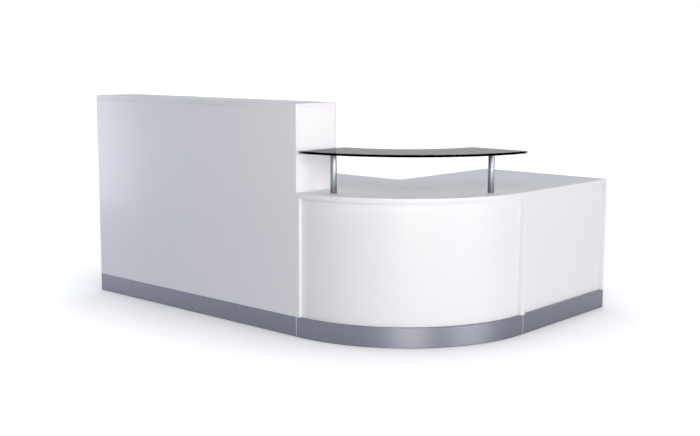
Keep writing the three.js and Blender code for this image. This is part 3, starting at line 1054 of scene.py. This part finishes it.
POST_RADIUS = 16 * MM
POST_HEIGHT = 193.7 * MM
POST_EASE = 1 * MM
POST_HOLE_RADIUS = 4.3 * MM
POST_HOLE_DEPTH = 28 * MM
PAD_RADIUS = 15 * MM
PAD_HEIGHT = 1.7 * MM
PAD_EASE = 0.4 * MM
PAD_COLOUR = "#dfe4e6"
PAD_CLOUD = 3 * MM
BOLT_SHANK_RADIUS = 4 * MM
BOLT_LENGTH = 70.15 * MM
BOLT_HEAD_CORNER = 7.5 * MM
BOLT_HEAD_TOP = 5.2 * MM
BOLT_FLANGE_RADIUS = 9 * MM
BOLT_SEAT = 7 * MM
BOLT_EASE = 1 * MM
BOLT_CHAMFER = 1.5 * MM


def clear_pad():
    """A clear bonding pad: soft, a little cloudy, and bright where light gets into it."""
    material, tree = new_material("clear_bonding_pad")
    place = add_node(tree, "ShaderNodeTexCoord")
    cloud = add_node(
        tree,
        "ShaderNodeTexNoise",
        {"Vector": place["Object"], "Scale": 1 / PAD_CLOUD, "Detail": 2.0},
    )
    dullness = add_node(
        tree, "ShaderNodeMapRange", {"Value": cloud["Fac"], "To Min": 0.3, "To Max": 0.5}
    )
    surface = add_node(
        tree,
        "ShaderNodeBsdfPrincipled",
        {
            "Base Color": linear(PAD_COLOUR),
            "Roughness": dullness["Result"],
            "IOR": 1.45,
            "Transmission Weight": 0.5,
        },
    )
    add_node(tree, "ShaderNodeOutputMaterial", {"Surface": surface["BSDF"]})
    return material


post_profile = [
    (0, POST_HOLE_DEPTH),
    (POST_HOLE_RADIUS, POST_HOLE_DEPTH),
    (POST_HOLE_RADIUS, 0),
    (POST_RADIUS - POST_EASE, 0),
    (POST_RADIUS - EASE_RISE * POST_EASE, EASE_RISE * POST_EASE),
    (POST_RADIUS, POST_EASE),
    (POST_RADIUS, POST_HEIGHT - POST_EASE),
    (POST_RADIUS - EASE_RISE * POST_EASE, POST_HEIGHT - EASE_RISE * POST_EASE),
    (POST_RADIUS - POST_EASE, POST_HEIGHT),
    (0, POST_HEIGHT),
]
pad_profile = [
    (0, 0),
    (PAD_RADIUS - PAD_EASE, 0),
    (PAD_RADIUS, PAD_EASE),
    (PAD_RADIUS, PAD_HEIGHT - PAD_EASE),
    (PAD_RADIUS - PAD_EASE, PAD_HEIGHT),
    (0, PAD_HEIGHT),
]
bolt_profile = [
    (0, 0),
    (BOLT_HEAD_CORNER - BOLT_CHAMFER, 0),
    (BOLT_HEAD_CORNER, BOLT_EASE, HEXAGON),
    (BOLT_HEAD_CORNER, BOLT_HEAD_TOP, HEXAGON),
    (BOLT_FLANGE_RADIUS, BOLT_SEAT - BOLT_EASE),
    (BOLT_FLANGE_RADIUS, BOLT_SEAT),
    (BOLT_SHANK_RADIUS, BOLT_SEAT),
    (BOLT_SHANK_RADIUS, BOLT_LENGTH - BOLT_EASE),
    (BOLT_SHANK_RADIUS - BOLT_EASE, BOLT_LENGTH),
    (0, BOLT_LENGTH),
]
for kind, profile, material, finish in (
    ("bolt", bolt_profile, zinc, "zinc_steel"),
    ("post", post_profile, aluminium, "satin_aluminium"),
    ("pad", pad_profile, clear_pad(), "clear_rubber"),
):
    nodes = [f"{side}_shelf_{kind}" for side in ("left", "right")]
    bases = []
    for node in nodes:
        low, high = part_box(node)
        bases.append(Vector(((low.x + high.x) / 2, (low.y + high.y) / 2, low.z)))
    piece = set_out(f"shelf_{kind}s", turned_shape(kind, profile), bases, material)
    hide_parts(*nodes)
    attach(piece, "desk")

# Glass shelf
# A quarter ring of 12 mm smoked toughened glass with polished edges, bonded to the two posts. It
# hangs over the worktop's front edge.

GLASS_OUTER = 819 * MM
GLASS_INNER = 489 * MM
GLASS_END = 32 * MM
GLASS_CORNER = 8 * MM
GLASS_CORNER_STEPS = 8
GLASS_ARRIS = 0.5 * MM
GLASS_ARRIS_STEPS = 1
GLASS_CREASE = math.radians(30)
GLASS_COLOUR = "#3a4247"
GLASS_DENSITY = 95.0
GLASS_SMEAR = 60 * MM
WHITE = "#ffffff"


def smoked_glass():
    """Smoked float glass: polished, with a trace of smears from wiping, and grey all through.

    The body tint lets about a third of the light through 12 mm, so that the edges look black. The
    IOR is far below the 1.52 of real glass, which would mirror the white ground in the top.
    """
    material, tree = new_material("smoked_toughened_glass")
    place = add_node(tree, "ShaderNodeTexCoord")
    smear = add_node(
        tree,
        "ShaderNodeTexNoise",
        {"Vector": place["Object"], "Scale": 1 / GLASS_SMEAR, "Detail": 3.0},
    )
    haze = add_node(
        tree,
        "ShaderNodeMapRange",
        {"Value": smear["Fac"], "From Min": 0.4, "From Max": 0.8, "To Min": 0.0, "To Max": 0.05},
    )
    surface = add_node(
        tree,
        "ShaderNodeBsdfPrincipled",
        {
            "Base Color": linear(WHITE),
            "Roughness": haze["Result"],
            "IOR": 1.045,
            "Transmission Weight": 1.0,
        },
    )
    tint = add_node(
        tree,
        "ShaderNodeVolumeAbsorption",
        {"Color": linear(GLASS_COLOUR), "Density": GLASS_DENSITY},
    )
    add_node(
        tree, "ShaderNodeOutputMaterial", {"Surface": surface["BSDF"], "Volume": tint["Volume"]}
    )
    return material


def rounded_corner(before, corner, after):
    """Points of a small curve that replaces a corner of an outline."""
    points = []
    for i in range(GLASS_CORNER_STEPS + 1):
        t = i / GLASS_CORNER_STEPS
        points.append((1 - t) ** 2 * before + 2 * t * (1 - t) * corner + t * t * after)
    return points


outer, inner = GLASS_OUTER - HAIRLINE, GLASS_INNER + HAIRLINE
cut_outer, cut_inner = math.asin(GLASS_END / outer), math.asin(GLASS_END / inner)
round_outer, round_inner = cut_outer + GLASS_CORNER / outer, cut_inner + GLASS_CORNER / inner
outer_arc = arc(outer, round_outer - QUARTER_TURN, -round_outer)
inner_arc = arc(inner, -round_inner, round_inner - QUARTER_TURN)
far_outer, far_inner = around(outer, -cut_outer), around(inner, -cut_inner)
near_inner = around(inner, cut_inner - QUARTER_TURN)
near_outer = around(outer, cut_outer - QUARTER_TURN)
glass_outline = [
    *outer_arc[1:-1],
    *rounded_corner(outer_arc[-1], far_outer, far_outer - GLASS_CORNER * SIDE),
    *rounded_corner(far_inner + GLASS_CORNER * SIDE, far_inner, inner_arc[0]),
    *inner_arc[1:-1],
    *rounded_corner(inner_arc[-1], near_inner, near_inner + GLASS_CORNER * FRONT),
    *rounded_corner(near_outer - GLASS_CORNER * FRONT, near_outer, outer_arc[0]),
]
glass_low, glass_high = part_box("glass_shelf")
glass = flat_board(
    "smoked_glass_ring",
    glass_outline,
    glass_low.z,
    glass_high.z,
    smoked_glass(),
    GLASS_ARRIS,
    GLASS_ARRIS_STEPS,
    GLASS_CREASE,
)
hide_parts("glass_shelf")
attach(glass, "desk")

# Studio floor and background
# A plain pale floor that fades to the white of the background, which metal and glass reflect too.
# Its glow, seen by the camera and by reflections, is dimmer near the desk. Ambient occlusion
# darkens it there too, as a painted shadow on top of the desk's real shadow from the lamps.

FLOOR_COLOUR = "#f1f2f4"
FLOOR_HALF_SIDE = 40
FLOOR_GLOW = 0.7
FLOOR_FAR_GLOW = 1.0
FADE_START = 2.5
FADE_END = 6.5
# Reach and power of the ambient occlusion that paints a shadow into the floor's glow near the desk
PAINTED_SHADOW_REACH = 0.8
PAINTED_SHADOW_DEPTH = 1.8
WORLD_COLOUR = "#c5cddd"
WORLD_LIGHT = 0.35
WHITE_BACKDROP = 1.0


def studio_floor():
    """A matt pale floor with a painted glow for the camera and reflections: white far from the
    desk, dimmer near it, and with a painted shadow from ambient occlusion close to the desk.
    """
    material, tree = new_material("pale_studio_floor")
    place = add_node(tree, "ShaderNodeTexCoord")
    reach = add_node(tree, "ShaderNodeVectorMath", {0: place["Object"]}, operation="LENGTH")
    fade = add_node(
        tree,
        "ShaderNodeMapRange",
        {
            "Value": reach["Value"],
            "From Min": FADE_START,
            "From Max": FADE_END,
            "To Min": FLOOR_GLOW,
            "To Max": FLOOR_FAR_GLOW,
        },
    )
    rays = add_node(tree, "ShaderNodeLightPath")
    direct = add_node(
        tree,
        "ShaderNodeMath",
        {0: rays["Is Camera Ray"], 1: rays["Is Glossy Ray"]},
        operation="MAXIMUM",
    )
    seen = add_node(
        tree,
        "ShaderNodeMath",
        {0: direct[0], 1: rays["Is Transmission Ray"]},
        operation="MAXIMUM",
    )
    # Painted shadow: ambient occlusion, raised to a power, dims the floor's glow near the desk
    painted_shadow = add_node(tree, "ShaderNodeAmbientOcclusion", {"Distance": PAINTED_SHADOW_REACH})
    depth = add_node(tree, "ShaderNodeMath", {0: painted_shadow["AO"], 1: PAINTED_SHADOW_DEPTH}, operation="POWER")
    glow_with_painted_shadow = add_node(
        tree, "ShaderNodeMath", {0: depth[0], 1: fade["Result"]}, operation="MULTIPLY"
    )
    glow = add_node(tree, "ShaderNodeMath", {0: seen[0], 1: glow_with_painted_shadow[0]}, operation="MULTIPLY")
    surface = add_node(
        tree,
        "ShaderNodeBsdfPrincipled",
        {
            "Base Color": linear(FLOOR_COLOUR),
            "Roughness": 0.9,
            "Specular IOR Level": 0.0,
            "Emission Color": linear(WHITE),
            "Emission Strength": glow[0],
        },
    )
    add_node(tree, "ShaderNodeOutputMaterial", {"Surface": surface["BSDF"]})
    return material


floor_mesh = bpy.data.meshes.new("floor")
floor_shape = bmesh.new()
bmesh.ops.create_grid(floor_shape, x_segments=1, y_segments=1, size=FLOOR_HALF_SIDE)
floor_shape.to_mesh(floor_mesh)
floor_shape.free()
floor_mesh.materials.append(studio_floor())
new_piece("floor", floor_mesh)

world = bpy.data.worlds.new("white_studio")
bpy.context.scene.world = world
world.use_nodes = True
sky = world.node_tree
sky.nodes.clear()
rays = add_node(sky, "ShaderNodeLightPath")
direct = add_node(
    sky,
    "ShaderNodeMath",
    {0: rays["Is Camera Ray"], 1: rays["Is Glossy Ray"]},
    operation="MAXIMUM",
)
seen = add_node(
    sky, "ShaderNodeMath", {0: direct[0], 1: rays["Is Transmission Ray"]}, operation="MAXIMUM"
)
light = add_node(
    sky, "ShaderNodeBackground", {"Color": linear(WORLD_COLOUR), "Strength": WORLD_LIGHT}
)
white = add_node(
    sky, "ShaderNodeBackground", {"Color": linear(WHITE), "Strength": WHITE_BACKDROP}
)
mixed = add_node(
    sky, "ShaderNodeMixShader", {0: seen[0], 1: light["Background"], 2: white["Background"]}
)
add_node(sky, "ShaderNodeOutputWorld", {"Surface": mixed["Shader"]})

# Lamps
# Soft rectangular lamps: a key right of the camera, one high in front for the worktop's shadow
# line, a wide fill for the return, a narrow spot on the tall unit's end, a strip that shows in the
# gloss of the tall front, and fills behind and above.

WIDE_SPREAD = 180
SPOT_SPREAD = 18


def soft_lamp(name, place, target, size, power, colour, spread=WIDE_SPREAD):
    """A rectangular area lamp that faces a target: metres, watts, and its spread in degrees."""
    data = bpy.data.lights.new(name, "AREA")
    data.shape = "RECTANGLE"
    data.size, data.size_y = size
    data.energy = power
    data.spread = math.radians(spread)
    data.color = linear(colour)[:3]
    lamp = bpy.data.objects.new(name, data)
    lamp.location = place
    lamp.rotation_euler = (Vector(target) - Vector(place)).to_track_quat("-Z", "Y").to_euler()
    lamp.visible_camera = False
    bpy.context.scene.collection.objects.link(lamp)


soft_lamp(
    "key",
    place=(6.45, -5.25, 1.0),
    target=(0.6, -0.3, 0.4),
    size=(3.0, 1.2),
    power=176,
    colour="#fff5ea",
)
soft_lamp(
    "high_front",
    place=(3.4, -4.2, 3.4),
    target=(0.7, -0.6, 0.6),
    size=(0.9, 0.9),
    power=60,
    colour="#fff8f1",
)
soft_lamp(
    "right_fill",
    place=(15.5, 0.6, 1.9),
    target=(0.6, 0.0, 0.6),
    size=(7.8, 3.5),
    power=745,
    colour="#fff7f0",
)
soft_lamp(
    "end_spot",
    place=(3.0, -1.3, 1.25),
    target=(0.41, -0.64, 1.0),
    size=(0.3, 0.3),
    power=0.2,
    colour="#fff8f1",
    spread=SPOT_SPREAD,
)
soft_lamp(
    "left_strip",
    place=(-1.85, -1.3, 0.85),
    target=(-1.15, -0.83, 0.85),
    size=(0.2, 0.9),
    power=3.0,
    colour="#eef3ff",
)
soft_lamp(
    "back_fill",
    place=(0.6, 7.0, 1.8),
    target=(-0.1, 0.4, 0.5),
    size=(3.0, 1.6),
    power=110,
    colour="#fffdfa",
)
soft_lamp(
    "top_fill",
    place=(0.4, 0.2, 4.5),
    target=(0.4, 0.1, 0.7),
    size=(3.0, 3.0),
    power=12,
    colour="#e6edff",
)

# Camera
# It stands where the photograph was taken: to the right of the corner, at eye height, looking
# slightly down.

CAMERA_PLACE = Vector((4.0375, -4.5019, 1.3709))
CAMERA_YAW = math.radians(41.61)
CAMERA_PITCH = math.radians(8.47)
CAMERA_ROLL = math.radians(0.24)
CAMERA_LENS = 55.42
CAMERA_SENSOR = 36

ahead = Vector(
    (
        -math.sin(CAMERA_YAW) * math.cos(CAMERA_PITCH),
        math.cos(CAMERA_YAW) * math.cos(CAMERA_PITCH),
        -math.sin(CAMERA_PITCH),
    )
)
level = Vector((math.cos(CAMERA_YAW), math.sin(CAMERA_YAW), 0))
upright = level.cross(ahead)
rightward = level * math.cos(CAMERA_ROLL) + upright * math.sin(CAMERA_ROLL)
upward = upright * math.cos(CAMERA_ROLL) - level * math.sin(CAMERA_ROLL)
camera_data = bpy.data.cameras.new("camera")
camera_data.lens = CAMERA_LENS
camera_data.sensor_width = CAMERA_SENSOR
camera = bpy.data.objects.new("camera", camera_data)
camera.matrix_world = Matrix.Translation(CAMERA_PLACE) @ Matrix(
    (rightward, upward, -ahead)
).transposed().to_4x4()
bpy.context.scene.collection.objects.link(camera)
bpy.context.scene.camera = camera
bpy.context.scene.view_settings.view_transform = "Standard"
